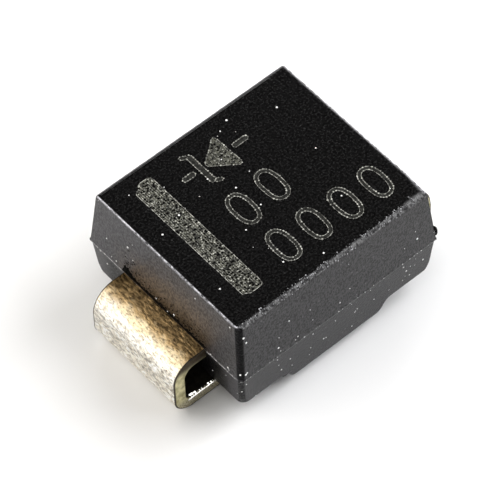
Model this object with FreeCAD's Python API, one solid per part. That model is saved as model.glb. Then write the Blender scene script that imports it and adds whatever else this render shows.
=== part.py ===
import FreeCAD, Part
import math
import os

# Surface-mount transient voltage suppressor diode, resting on the feet of its two leads.
# Millimetres. X runs from lead to lead with the cathode at -X, Y across, Z up.

# moulded body
body_length = 4.20
body_width = 3.76
body_top = 2.545
parting_height = 1.29
standoff = 0.17
end_draft = 4.7
upper_side_draft = 6.0
lower_draft = 4.5
upper_rounding = 0.07
lower_corner = 0.12
bottom_rounding = 0.09

# recesses under both ends that leave room for the feet
recess_depth = 0.255
block_length = 2.20
block_draft = 20.0
block_rounding = 0.14
recess_root = 0.11

# cathode band cut into the top
band_width = 0.40
band_length = 2.76
band_depth = 0.02
band_offset = 1.30

# lead strip
lead_thickness = 0.235
lead_width = 2.00
lead_reach = 0.65
upper_bend = 0.44
lower_bend = 0.37
foot_length = 1.15
joint_offset = 0.12
set_radius = 0.20
notch_radius = 0.13
notch_offset = 0.28
neck_length = 0.32

# die pad of the cathode lead
pad_drop = 0.305
pad_length = 2.36
pad_width = 2.36
pad_corner = 0.20

# contact tab of the anode lead
tab_width = 1.30
tab_reach = 0.75
tab_corner = 0.30
dimple_radius = 0.44
dimple_depth = 0.06
dimple_flare = 0.18

# chip
chip_side = 2.00
chip_thickness = 0.26
groove_depth = 0.10
mesa_top = 1.56
mesa_foot = 1.72
mesa_corner = 0.20
glass_rim_drop = 0.04
glass_crest = 1.62

# solder
solder_thickness = 0.05
pad_solder_spread = 0.12
pad_solder_corner = 0.15
tab_solder_radius = 0.68
tab_solder_climb = 0.03
tab_solder_lip = 0.03


def vec(x, y, z):
    return FreeCAD.Vector(x, y, z)


def pyramid_stump(lower, upper, bottom, top):
    # flat-sided solid between two centred rectangles, each given as length and width
    solid = Part.makeWedge(
        -lower[0] / 2, bottom, -lower[1] / 2, -upper[1] / 2, -upper[0] / 2,
        lower[0] / 2, top, lower[1] / 2, upper[1] / 2, upper[0] / 2,
    )
    solid.rotate(vec(0, 0, 0), vec(1, 0, 0), 90)
    return solid


def rounded_stump(lower, upper, bottom, top, corner):
    solid = pyramid_stump(lower, upper, bottom, top)
    return solid.makeFillet(corner, rising_edges(solid))


def rising_edges(shape):
    return [e for e in shape.Edges if e.BoundBox.ZLength > shape.BoundBox.ZLength / 2]


def side_edges(points, radii, offset):
    # one long side of a bent strip: the centre line shifted by offset, with concentric bends
    steps = [(points[i + 1] - points[i]).normalize() for i in range(len(points) - 1)]
    normals = [vec(-s.z, 0, s.x) for s in steps]
    edges = []
    here = points[0] + normals[0] * offset
    for i in range(1, len(points) - 1):
        before = steps[i - 1]
        after = steps[i]
        turn = 1 if before.x * after.z - before.z * after.x > 0 else -1
        angle = math.acos(max(-1.0, min(1.0, before.dot(after))))
        radius = radii[i - 1]
        tangent = radius * math.tan(angle / 2)
        bend_start = points[i] - before * tangent
        bend_end = points[i] + after * tangent
        centre = bend_start + normals[i - 1] * (radius * turn)
        outward = (points[i] - centre).normalize()
        arc_start = bend_start + normals[i - 1] * offset
        arc_end = bend_end + normals[i] * offset
        arc_middle = centre + outward * (radius - turn * offset)
        edges.append(Part.makeLine(here, arc_start))
        edges.append(Part.Arc(arc_start, arc_middle, arc_end).toShape())
        here = arc_end
    last = points[-1] + normals[-1] * offset
    edges.append(Part.makeLine(here, last))
    return edges


def bent_strip(points, radii, thickness, width):
    left = side_edges(points, radii, thickness / 2)
    right = side_edges(points, radii, -thickness / 2)
    cap = Part.makeLine(left[-1].lastVertex().Point, right[-1].lastVertex().Point)
    heel = Part.makeLine(right[0].firstVertex().Point, left[0].firstVertex().Point)
    edges = left + [cap] + list(reversed(right)) + [heel]
    face = Part.Face(Part.Wire(Part.__sortEdges__(edges)))
    solid = face.extrude(vec(0, width, 0))
    solid.translate(vec(0, -width / 2, 0))
    return solid


def upright_edges(shape):
    found = []
    for edge in shape.Edges:
        box = edge.BoundBox
        if box.XLength < 1e-6 and box.YLength < 1e-6:
            found.append(edge)
    return found


# heights that follow from the strip and the stack of chip and solder
arm_height = parting_height - lead_thickness / 2
pad_height = arm_height - pad_drop
pad_surface = pad_height + lead_thickness / 2
chip_bottom = pad_surface + solder_thickness
chip_top = chip_bottom + chip_thickness
groove_floor = chip_top - groove_depth
dimple_bottom = chip_top + solder_thickness
tab_underside = dimple_bottom + dimple_depth
tab_height = tab_underside + lead_thickness / 2
recess_ceiling = standoff + recess_depth

# plan positions
body_end = body_length / 2
joint_x = body_end - joint_offset
notch_x = body_end - notch_offset
neck_x = joint_x - neck_length
lead_end = body_end + lead_reach
lead_wall = lead_end - lead_thickness / 2
foot_tip = lead_end - foot_length


def lead_outside():
    # C-shaped part from the foot under the body, up the wall and in along the arm
    points = [
        vec(-foot_tip, 0, lead_thickness / 2),
        vec(-lead_wall, 0, lead_thickness / 2),
        vec(-lead_wall, 0, arm_height),
        vec(-joint_x, 0, arm_height),
    ]
    radii = [lower_bend - lead_thickness / 2, upper_bend - lead_thickness / 2]
    return bent_strip(points, radii, lead_thickness, lead_width)


def set_strip(end_x, end_height, width):
    # inner part from the joint with a 45 degree set to another height
    rise = end_height - arm_height
    slope_start = -neck_x
    slope_end = slope_start + abs(rise)
    points = [
        vec(-joint_x, 0, arm_height),
        vec(slope_start, 0, arm_height),
        vec(slope_end, 0, end_height),
        vec(end_x, 0, end_height),
    ]
    return bent_strip(points, [set_radius, set_radius], lead_thickness, width)


def plan_prism(outline, corner, corner_count):
    # outline seen from above, mirrored about the X axis, with its inner end rounded
    points = [vec(x, y, 0) for x, y in outline]
    mirrored = [vec(p.x, -p.y, 0) for p in reversed(points)]
    loop = points + mirrored
    face = Part.Face(Part.makePolygon(loop + [loop[0]]))
    prism = face.extrude(vec(0, 0, body_top))
    end_x = max(p.x for p in points)
    rounded = [e for e in upright_edges(prism) if abs(e.BoundBox.XMin - end_x) < 1e-6]
    return prism.makeFillet(corner, rounded[:corner_count])


def with_notches(solid):
    for side in (-1, 1):
        bite = Part.makeCylinder(notch_radius, body_top, vec(-notch_x, side * lead_width / 2, 0))
        solid = solid.cut(bite)
    return solid


def cathode_lead():
    pad_end = pad_length / 2
    flare = (pad_width - lead_width) / 2
    outline = [
        (-joint_x, lead_width / 2),
        (-pad_end - flare, lead_width / 2),
        (-pad_end, pad_width / 2),
        (pad_end, pad_width / 2),
    ]
    inner = set_strip(pad_end, pad_height, pad_width)
    inner = inner.common(plan_prism(outline, pad_corner, 2))
    return lead_outside().fuse(with_notches(inner)).removeSplitter()


def anode_lead():
    # drawn with its outside at -X like the cathode lead, then turned half round
    slope_end = -neck_x + tab_height - arm_height
    outline = [
        (-joint_x, lead_width / 2),
        (-neck_x, lead_width / 2),
        (slope_end, tab_width / 2),
        (tab_reach, tab_width / 2),
    ]
    inner = set_strip(tab_reach, tab_height, lead_width)
    inner = inner.common(plan_prism(outline, tab_corner, 2))
    lead = lead_outside().fuse(with_notches(inner)).removeSplitter()
    lead.rotate(vec(0, 0, 0), vec(0, 0, 1), 180)
    bump = Part.makeCone(dimple_radius, dimple_radius + dimple_flare, dimple_depth, vec(0, 0, dimple_bottom))
    hollow = bump.copy()
    hollow.translate(vec(0, 0, lead_thickness))
    return lead.fuse(bump).cut(hollow).removeSplitter()


def silicon_die():
    base = Part.makeBox(chip_side, chip_side, groove_floor - chip_bottom)
    base.translate(vec(-chip_side / 2, -chip_side / 2, chip_bottom))
    return base.fuse(mesa()).removeSplitter()


def mesa():
    foot = (mesa_foot, mesa_foot)
    crown = (mesa_top, mesa_top)
    return rounded_stump(foot, crown, groove_floor, chip_top, mesa_corner)


def die_passivation():
    # glass that fills the groove round the mesa, level with it inside and lower at the sawn edge
    rim = chip_top - glass_rim_drop
    ring = Part.makeBox(chip_side, chip_side, rim - groove_floor)
    ring.translate(vec(-chip_side / 2, -chip_side / 2, groove_floor))
    slope = pyramid_stump((chip_side, chip_side), (glass_crest, glass_crest), rim, chip_top)
    return ring.fuse(slope).removeSplitter().cut(mesa())


def cathode_solder():
    spread = chip_side + 2 * pad_solder_spread
    lower = (spread, spread)
    upper = (chip_side, chip_side)
    return rounded_stump(lower, upper, pad_surface, chip_bottom, pad_solder_corner)


def anode_solder(tab):
    # wets the mesa's contact and climbs a little way up the dimple
    crest = dimple_bottom + tab_solder_climb
    crest_radius = dimple_radius + dimple_flare * tab_solder_climb / dimple_depth + tab_solder_lip
    cone = Part.makeCone(tab_solder_radius, crest_radius, crest - chip_top, vec(0, 0, chip_top))
    return cone.cut(tab)


def upper_half():
    rise = body_top - parting_height
    length = body_length - 2 * rise * math.tan(math.radians(end_draft))
    width = body_width - 2 * rise * math.tan(math.radians(upper_side_draft))
    solid = pyramid_stump((body_length, body_width), (length, width), parting_height, body_top)
    rim = [e for e in solid.Edges if e.BoundBox.ZMin > body_top - 1e-6]
    return solid.makeFillet(upper_rounding, rim + rising_edges(solid))


def recess_cut(reach):
    # space under the -X end: sloped step with a rounded block edge and a rounded root
    lean = math.tan(math.radians(block_draft))
    step_top = -block_length / 2 - lean * recess_depth / 2
    step_bottom = -block_length / 2 + lean * recess_depth / 2
    half = math.radians(90 - block_draft) / 2
    root = recess_root * math.tan(half)
    edge = block_rounding * math.tan(half)
    along = vec(math.sin(math.radians(block_draft)), 0, -math.cos(math.radians(block_draft)))
    root_corner = vec(step_top, 0, recess_ceiling)
    edge_corner = vec(step_bottom, 0, standoff)
    root_start = root_corner - vec(root, 0, 0)
    root_end = root_corner + along * root
    edge_start = edge_corner - along * edge
    edge_end = edge_corner + vec(edge, 0, 0)
    root_centre = root_start - vec(0, 0, recess_root)
    edge_centre = edge_end + vec(0, 0, block_rounding)
    root_middle = root_centre + (root_corner - root_centre).normalize() * recess_root
    edge_middle = edge_centre + (edge_corner - edge_centre).normalize() * block_rounding
    outer = -body_length
    edges = [
        Part.makeLine(vec(outer, 0, recess_ceiling), root_start),
        Part.Arc(root_start, root_middle, root_end).toShape(),
        Part.makeLine(root_end, edge_start),
        Part.Arc(edge_start, edge_middle, edge_end).toShape(),
        Part.makeLine(edge_end, vec(edge_end.x, 0, 0)),
        Part.makeLine(vec(edge_end.x, 0, 0), vec(outer, 0, 0)),
        Part.makeLine(vec(outer, 0, 0), vec(outer, 0, recess_ceiling)),
    ]
    solid = Part.Face(Part.Wire(edges)).extrude(vec(0, 2 * reach, 0))
    solid.translate(vec(0, -reach, 0))
    return solid


def lower_half():
    drop = parting_height - standoff
    shrink = 2 * drop * math.tan(math.radians(lower_draft))
    lower = (body_length - shrink, body_width - shrink)
    upper = (body_length, body_width)
    solid = rounded_stump(lower, upper, standoff, parting_height, lower_corner)
    cut = recess_cut(body_width)
    solid = solid.cut(cut)
    cut.rotate(vec(0, 0, 0), vec(0, 0, 1), 180)
    solid = solid.cut(cut)
    rim = []
    for edge in solid.Edges:
        box = edge.BoundBox
        outside = abs(box.Center.y) > body_width / 4 or abs(box.Center.x) > body_length * 0.45
        across = box.YLength > body_width / 2 and abs(box.Center.x) < body_length * 0.45
        if box.ZMax < recess_ceiling + 1e-4 and outside and not across:
            rim.append(edge)
    return solid.makeFillet(bottom_rounding, rim)


def epoxy_body(inserts):
    solid = upper_half().fuse(lower_half())
    band = Part.makeBox(band_width, band_length, 2 * band_depth)
    band.translate(vec(-band_offset - band_width / 2, -band_length / 2, body_top - band_depth))
    solid = solid.cut(band)
    for insert in inserts:
        solid = solid.cut(insert)
    return solid.removeSplitter()


cathode = cathode_lead()
anode = anode_lead()
pieces = {
    "cathode_lead": cathode,
    "anode_lead": anode,
    "silicon_die": silicon_die(),
    "die_passivation": die_passivation(),
    "cathode_solder": cathode_solder(),
    "anode_solder": anode_solder(anode),
}
pieces["epoxy_body"] = epoxy_body(list(pieces.values()))

os.makedirs("parts", exist_ok=True)
for name, shape in pieces.items():
    solid = shape.Solids[0] if len(shape.Solids) == 1 else shape
    solid.exportStep("parts/" + name + ".step")
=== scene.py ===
import bmesh
import bpy
import math
import numpy as np
from mathutils import Matrix, Vector, noise


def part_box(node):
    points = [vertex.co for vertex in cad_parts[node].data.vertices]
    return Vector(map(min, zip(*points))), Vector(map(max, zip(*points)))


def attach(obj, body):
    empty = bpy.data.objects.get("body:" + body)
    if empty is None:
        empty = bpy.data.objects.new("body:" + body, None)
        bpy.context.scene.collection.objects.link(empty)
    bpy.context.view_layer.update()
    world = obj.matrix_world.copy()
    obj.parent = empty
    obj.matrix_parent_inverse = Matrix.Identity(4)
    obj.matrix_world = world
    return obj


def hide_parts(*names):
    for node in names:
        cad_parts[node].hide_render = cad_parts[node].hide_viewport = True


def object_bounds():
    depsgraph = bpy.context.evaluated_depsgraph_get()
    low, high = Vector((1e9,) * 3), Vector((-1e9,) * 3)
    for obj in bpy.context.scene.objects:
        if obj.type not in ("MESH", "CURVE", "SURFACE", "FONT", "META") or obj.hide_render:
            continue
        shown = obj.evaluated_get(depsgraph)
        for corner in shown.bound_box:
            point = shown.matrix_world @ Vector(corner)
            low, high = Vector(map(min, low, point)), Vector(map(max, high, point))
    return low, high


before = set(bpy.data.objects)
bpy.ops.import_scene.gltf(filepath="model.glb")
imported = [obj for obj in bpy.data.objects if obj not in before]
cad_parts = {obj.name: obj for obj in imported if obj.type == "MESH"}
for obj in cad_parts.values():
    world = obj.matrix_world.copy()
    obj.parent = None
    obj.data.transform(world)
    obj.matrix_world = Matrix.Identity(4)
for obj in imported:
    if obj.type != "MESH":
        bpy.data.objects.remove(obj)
cadBox = [list(corner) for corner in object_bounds()]
print("frame loaded")

mm = 0.001
bodyLow, bodyHigh = (np.array(c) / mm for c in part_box("epoxy_body"))
leadLow, leadHigh = (np.array(c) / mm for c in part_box("cathode_lead"))
partingHeight = float(leadHigh[2])
topHeight = float(bodyHigh[2]) - 0.004   # marks and dust lie in this last layer

# small helpers


def pieceFromMesh(name, mesh, *materials):
    piece = bpy.data.objects.new(name, mesh)
    bpy.context.scene.collection.objects.link(piece)
    for material in materials:
        piece.data.materials.append(material)
    return piece


def meshFromPoints(name, points, faces=(), edges=()):
    mesh = bpy.data.meshes.new(name)
    mesh.from_pydata([tuple(p) for p in np.asarray(points, float) * mm], list(edges), list(faces))
    mesh.update()
    return mesh


def smoothShade(mesh):
    mesh.polygons.foreach_set("use_smooth", [True] * len(mesh.polygons))


def turnOutward(mesh):
    bm = bmesh.new()
    bm.from_mesh(mesh)
    bmesh.ops.recalc_face_normals(bm, faces=bm.faces)
    bm.to_mesh(mesh)
    bm.free()


def tubeFaces(first, rings, sides):
    # quads through rings of points, and a cap at each end
    last = first + (rings - 1) * sides
    faces = []
    for start in range(first, last, sides):
        for i in range(sides):
            j = (i + 1) % sides
            faces.append((start + i, start + j, start + sides + j, start + sides + i))
    return faces + [tuple(range(first + sides - 1, first - 1, -1)), tuple(range(last, last + sides))]


def holdInside(mesh):
    # keeps every point within the box of the solids
    places = np.empty(3 * len(mesh.vertices))
    mesh.vertices.foreach_get("co", places)
    places = np.clip(places.reshape(-1, 3), *np.array(cadBox))
    mesh.vertices.foreach_set("co", places.ravel())
    mesh.update()


def smoothStep(value, low, high):
    t = np.clip((value - low) / (high - low), 0.0, 1.0)
    return t * t * (3 - 2 * t)


def swell(value, low, high):
    return float(smoothStep(value, low, high))


def wave(x, y, z):
    return noise.noise(Vector((x, y, z)))


def ripple(x, y, z, scale, seed):
    return wave(x * scale + seed, y * scale - seed, z * scale + 2 * seed)


# camera, set by the photograph's own perspective

viewpoint = {
    "azimuth": -39.093,
    "elevation": 54.845,
    "roll": -2.278,
    "distance": 55.2,
    "focal": 3424.6,      # pixels of the frame
    "framePixels": 500,
    "sensor": 36,
    "aimRight": -0.2083,
    "aimUp": -0.1827,
}


def directionTo(azimuth, elevation):
    a, e = math.radians(azimuth), math.radians(elevation)
    return Vector((math.sin(a) * math.cos(e), -math.cos(a) * math.cos(e), math.sin(e)))


def makeCamera(v):
    a, roll = math.radians(v["azimuth"]), math.radians(v["roll"])
    back = directionTo(v["azimuth"], v["elevation"])
    right = Vector((math.cos(a), math.sin(a), 0))
    up = back.cross(right)
    right, up = (
        math.cos(roll) * right + math.sin(roll) * up,
        -math.sin(roll) * right + math.cos(roll) * up,
    )
    aim = Vector((0, 0, partingHeight)) + v["aimRight"] * right + v["aimUp"] * up
    place = (aim + back * v["distance"]) * mm
    data = bpy.data.cameras.new("photoCamera")
    data.sensor_width = v["sensor"]
    data.lens = v["sensor"] * v["focal"] / v["framePixels"]
    data.clip_start = 0.002
    data.clip_end = 2
    camera = bpy.data.objects.new("photoCamera", data)
    turn = Matrix((right, up, back)).transposed()
    camera.matrix_world = Matrix.Translation(place) @ turn.to_4x4()
    bpy.context.scene.collection.objects.link(camera)
    bpy.context.scene.camera = camera


makeCamera(viewpoint)
print("camera placed")

# node trees


class NodeWriter:
    # adds nodes to one tree; a value is a number, a colour or the socket of another node

    def __init__(self, tree):
        self.tree = tree

    def feed(self, node, key, value):
        if isinstance(value, bpy.types.NodeSocket):
            self.tree.links.new(value, node.inputs[key])
        else:
            node.inputs[key].default_value = value

    def add(self, kind, inputs=None, **settings):
        node = self.tree.nodes.new(kind)
        for key, value in settings.items():
            setattr(node, key, value)
        for key, value in (inputs or {}).items():
            self.feed(node, key, value)
        return node

    def math(self, operation, *values, clamp=False):
        return self.add("ShaderNodeMath", dict(enumerate(values)), operation=operation, use_clamp=clamp).outputs[0]

    def plus(self, first, second):
        return self.math("ADD", first, second)

    def minus(self, first, second, clamp=False):
        return self.math("SUBTRACT", first, second, clamp=clamp)

    def size(self, value):
        return self.math("ABSOLUTE", value)

    def times(self, product, *others):
        for value in others:
            product = self.math("MULTIPLY", product, value)
        return product

    def largest(self, most, *others):
        for value in others:
            most = self.math("MAXIMUM", most, value)
        return most

    def split(self, vector):
        return tuple(self.add("ShaderNodeSeparateXYZ", {0: vector}).outputs)

    def range(self, value, low, high, outLow=0.0, outHigh=1.0):
        ends = {"From Min": low, "From Max": high, "To Min": outLow, "To Max": outHigh}
        node = self.add("ShaderNodeMapRange", {"Value": value, **ends}, interpolation_type="SMOOTHSTEP")
        return node.outputs["Result"]

    def span(self, value, lengths, *ends):
        # a range whose two limits are given in mm
        return self.range(value, *(length * mm for length in lengths), *ends)

    def blend(self, factor, first, second):
        return self.add("ShaderNodeMix", {0: factor, 2: first, 3: second}).outputs[0]

    def mix(self, factor, first, second, kind="MIX"):
        values = {0: factor, 6: first, 7: second}
        return self.add("ShaderNodeMix", values, data_type="RGBA", blend_type=kind).outputs[2]

    def tint(self, colour, shade):
        grey = self.add("ShaderNodeCombineColor", {"Red": shade, "Green": shade, "Blue": shade})
        return self.mix(1.0, colour, grey.outputs[0], "MULTIPLY")

    def grain(self, place, fineSize, cloudSize, stretch=(1, 1, 1)):
        values = {"Vector": place, "Stretch": stretch, "Fine Size": fineSize, "Cloud Size": cloudSize}
        node = self.add("ShaderNodeGroup", values, node_tree=grainGroup)
        return node.outputs["Fine"], node.outputs["Clouds"]

    def specks(self, place, size, share, width):
        values = {"Vector": place, "Size": size, "Share": share, "Width": width}
        return self.add("ShaderNodeGroup", values, node_tree=speckGroup).outputs["Mask"]

    def dress(self, shader, height, depth, inputs):
        bump = self.add("ShaderNodeBump", {"Height": height, "Distance": depth, "Strength": 1.0})
        for key, value in {**inputs, "Normal": bump.outputs["Normal"]}.items():
            self.feed(shader, key, value)


def newGroup(name, kind, inputs, outputs):
    group = bpy.data.node_groups.new(name, kind)
    sockets = group.interface
    names = {}
    for label, socket in inputs.items():
        made = sockets.new_socket(name=label, in_out="INPUT", socket_type="NodeSocket" + socket)
        names[label] = made.identifier
    for label, socket in outputs.items():
        sockets.new_socket(name=label, in_out="OUTPUT", socket_type="NodeSocket" + socket)
    n = NodeWriter(group)
    return n, n.add("NodeGroupInput").outputs, names


def buildGrainGroup():
    # soft clouds and fine grain, stretched by a vector
    n, given, _ = newGroup(
        "mouldGrain", "ShaderNodeTree",
        {"Vector": "Vector", "Stretch": "Vector", "Fine Size": "Float", "Cloud Size": "Float"},
        {"Fine": "Float", "Clouds": "Float"},
    )
    scaled = n.add("ShaderNodeVectorMath", {0: given["Vector"], 1: given["Stretch"]}, operation="MULTIPLY").outputs[0]
    looks = {}
    for label, size, roughness in (("Fine", "Fine Size", 0.6), ("Clouds", "Cloud Size", 0.55)):
        values = {"Vector": scaled, "Scale": given[size], "Detail": 3.0, "Roughness": roughness}
        looks[label] = n.add("ShaderNodeTexNoise", values).outputs["Fac"]
    n.add("NodeGroupOutput", looks)
    return n.tree


def buildSpeckGroup():
    # scattered round specks: few of the cells carry one
    n, given, _ = newGroup(
        "scatteredSpecks", "ShaderNodeTree",
        {"Vector": "Vector", "Size": "Float", "Share": "Float", "Width": "Float"}, {"Mask": "Float"},
    )
    values = {"Vector": given["Vector"], "Scale": given["Size"], "Randomness": 1.0}
    cells = n.add("ShaderNodeTexVoronoi", values).outputs
    colour = n.add("ShaderNodeSeparateColor", {"Color": cells["Color"]}).outputs
    chosen = n.math("LESS_THAN", colour["Red"], given["Share"])
    near = n.minus(n.times(given["Width"], colour["Green"]), cells["Distance"])
    softness = 9.0
    n.add("NodeGroupOutput", {"Mask": n.times(n.math("MULTIPLY", near, softness, clamp=True), chosen)})
    return n.tree


grainGroup = buildGrainGroup()
speckGroup = buildSpeckGroup()


def startMaterial(name):
    material = bpy.data.materials.new(name)
    material.use_nodes = True
    n = NodeWriter(material.node_tree)
    shader = next(node for node in n.tree.nodes if node.type == "BSDF_PRINCIPLED")
    return material, n, shader, n.add("ShaderNodeTexCoord").outputs["Object"]


# moulding compound

compound = {
    "dark": (0.0016, 0.0015, 0.0015, 1),
    "sideDark": (0.011, 0.0105, 0.0114, 1),
    "topLight": (0.0052, 0.0050, 0.0050, 1),
    "sideLight": (0.0190, 0.0180, 0.0197, 1),
    "endDark": (0.014, 0.0134, 0.0150, 1),
    "endLight": (0.046, 0.0434, 0.049, 1),
    "topFleck": (0.027, 0.027, 0.027, 1),
    "sideFleck": (0.11, 0.11, 0.115, 1),
    "rimSheenGrey": (0.15, 0.15, 0.15, 1),
    "endSheenGrey": (0.25, 0.247, 0.265, 1),
    "leadReflection": (0.090, 0.060, 0.036, 1),
    "index": 1.30,
    "skin": 0.50, "endSkin": 0.92, "lowerSkin": 0.66, "skinRough": 0.32,
    "topRough": (0.17, 0.30), "sideRough": (0.34, 0.60),
    "topGrain": 0.0000016, "sideGrain": 0.0000120,
    "topPits": 0.45, "sidePits": 0.16, "underShade": 0.80, "cornerDark": 0.85, "leadShadowDepth": 0.94, "aboveLeadLean": 0.20,
    # cells to a metre of the fine grain and of the clouds; size, share and width of the flecks
    "topSizes": (26000.0, 1500.0), "sideSizes": (33000.0, 5000.0), "endSizes": (28000.0, 5000.0),
    "rubSizes": (30000.0, 22000.0), "flecks": (20000.0, 0.26, 0.42),
    # lengths in mm from here on
    "endPlane": (1.85, 1.98), "cornerPlane": (1.60, 1.80), "shelterHalf": (1.62, 1.30), "shelterDrop": (0.03, 0.16),
    "aboveLeadHalf": 1.12, "aboveLeadWander": 0.7, "leadShadowSides": (0.12, -0.16), "leadShadowRise": (0.50, 0.03),
    "leadReflectionSides": (0.30, -0.45), "leadReflectionRise": (1.05, 0.30), "seam": 0.02,
}


def makeCompound(c):
    material, n, shader, place = startMaterial("blackEpoxy")
    normalX, normalY, normalZ = n.split(n.add("ShaderNodeNewGeometry").outputs["Normal"])
    x, y, z = n.split(place)
    onTop = n.range(normalZ, 0.85, 0.99)
    onEnd = n.range(n.size(normalX), 0.6, 0.8)
    topFine, topClouds = n.grain(place, *c["topSizes"])
    sideFine, sideClouds = n.grain(place, *c["sideSizes"], (1, 1, 0.6))
    endFine = n.grain(place, *c["endSizes"], (1, 1, 0.75))[0]
    fine = n.blend(onTop, n.blend(onEnd, sideFine, endFine), topFine)
    broad = n.blend(onTop, sideClouds, topClouds)
    # painted shading by face direction: the grain's tones are darkest on the top and lightest on the ends, and the
    # flecks are paler on the sides than on the top
    light = n.mix(onTop, n.mix(onEnd, c["sideLight"], c["endLight"]), c["topLight"])
    shade = n.mix(onTop, n.mix(onEnd, c["sideDark"], c["endDark"]), c["dark"])
    base = n.mix(n.range(fine, 0.33, 0.67), shade, light)
    flecks = n.times(n.specks(place, *c["flecks"]), n.range(broad, 0.35, 0.65, 0.10, 0.75))
    base = n.mix(flecks, base, n.mix(onTop, c["sideFleck"], c["topFleck"]))
    # grey rounding of the top along the long side at -Y and along the ends: rubbed wear with a painted highlight
    rim = n.times(n.range(normalZ, 0.15, 0.45), n.range(normalZ, 0.96, 0.80))
    rubFine, rubClouds = n.grain(place, *c["rubSizes"], (1, 0.6, 0.6))
    sideRubSheen = n.times(rim, n.range(normalY, -0.12, -0.35), n.range(rubClouds, 0.40, 0.62))
    base = n.mix(sideRubSheen, base, c["rimSheenGrey"])
    endRubSheen = n.times(rim, n.range(n.size(normalX), 0.25, 0.45), n.range(rubFine, 0.36, 0.60, 0.25, 1.0))
    base = n.mix(endRubSheen, base, c["endSheenGrey"])
    # painted shadow in a dark, uneven band above each lead, and a painted warm reflection of the lead round it
    atEnd = n.span(n.size(x), c["endPlane"])
    wander = n.plus(n.times(n.minus(broad, 0.5), c["aboveLeadWander"] * mm), n.times(y, c["aboveLeadLean"]))
    height = n.plus(z, wander)
    overSeam = n.span(z, (partingHeight - c["seam"], partingHeight))

    def overLead(sides, rises):
        across = n.span(n.size(y), [c["aboveLeadHalf"] + side for side in sides])
        return n.times(atEnd, across, n.span(height, [partingHeight + rise for rise in rises]), overSeam)

    paintedReflection = n.times(overLead(c["leadReflectionSides"], c["leadReflectionRise"]), n.range(fine, 0.40, 0.60, 0.15, 0.85))
    leadShadow = n.times(overLead(c["leadShadowSides"], c["leadShadowRise"]), n.range(fine, 0.36, 0.58, 1.0, 0.45), c["leadShadowDepth"])
    base = n.mix(paintedReflection, base, c["leadReflection"])
    base = n.mix(leadShadow, base, c["dark"])
    # painted shade below the seam in the shelter of each lead
    drop = n.span(z, [partingHeight - drop for drop in c["shelterDrop"]])
    shadeUnderLead = n.times(drop, atEnd, n.span(n.size(y), c["shelterHalf"]), c["underShade"])
    base = n.mix(shadeUnderLead, base, c["dark"])
    # painted shade on the upright corners; the pits in the skin give back almost no light
    corner = n.times(
        n.range(n.size(n.times(normalX, normalY)), 0.03, 0.27), n.range(n.size(normalZ), 0.8, 0.5),
        n.span(n.size(x), c["cornerPlane"]),
    )
    base = n.mix(n.times(corner, c["cornerDark"]), base, c["dark"])
    pits = n.times(n.range(fine, 0.52, 0.40), n.range(onTop, 0.0, 1.0, c["sidePits"], c["topPits"]))
    paintedShade = n.largest(corner, leadShadow, shadeUnderLead)
    # thin uneven skin on the sides
    skin = n.times(
        n.range(fine, 0.38, 0.62, 0.0, c["skin"]), n.minus(1.0, n.largest(paintedShade, onTop), clamp=True),
        n.span(z, (partingHeight - c["seam"], partingHeight + c["seam"]), c["lowerSkin"], 1.0),
        n.range(onEnd, 0.0, 1.0, 1.0, c["endSkin"]),
    )
    rough = n.blend(onTop, n.range(fine, 0.3, 0.7, *c["sideRough"]), n.range(fine, 0.3, 0.7, *c["topRough"]))
    n.dress(shader, fine, n.range(onTop, 0.0, 1.0, c["sideGrain"], c["topGrain"]), {
        "Base Color": base, "Roughness": rough, "Metallic": n.largest(paintedShade, pits), "IOR": c["index"],
        "Coat Weight": skin, "Coat Roughness": c["skinRough"],
    })
    return material


# lead metal

plating = {
    "silver": (0.96, 0.91, 0.82, 1),
    "dullSilver": (0.56, 0.51, 0.42, 1),
    "gold": (0.62, 0.515, 0.345, 1),
    "brown": (0.50, 0.34, 0.162, 1),
    "shadeAndPitBrown": (0.16, 0.105, 0.045, 1),
    "warmHeight": (1.04, 1.26),       # height in mm over which the plate warms
    "brownReach": (2.37, 2.555),      # distance from the middle in mm over which the brown fades
    "rootReach": (2.09, 2.21), "rootShade": 0.42,
    "sideReach": (0.62, 1.0), "sideShade": 0.50,
    "farReach": (0.55, 0.92), "farShade": 0.80,
    "waver": 0.5, "pits": (17000.0, 0.15, 0.42), "pitShade": 0.75,
    "plateSizes": (30000.0, 7000.0), "scuffSizes": (22000.0, 9000.0),
    "roughness": (0.26, 0.48), "grainDepth": 0.0000105,
}
cutEdge = {
    "olive": ((0.42, 0.38, 0.19, 1), (0.84, 0.78, 0.49, 1)),
    "footGrey": ((0.30, 0.265, 0.17, 1), (0.68, 0.63, 0.47, 1)),
    "cutTopShadow": (0.060, 0.042, 0.022, 1),
    "footGreyHeight": (0.12, 0.40), "cutTopShadowHeight": (0.94, 1.16),
    "roughness": (0.34, 0.55), "grainDepth": 0.000002,
}


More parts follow.
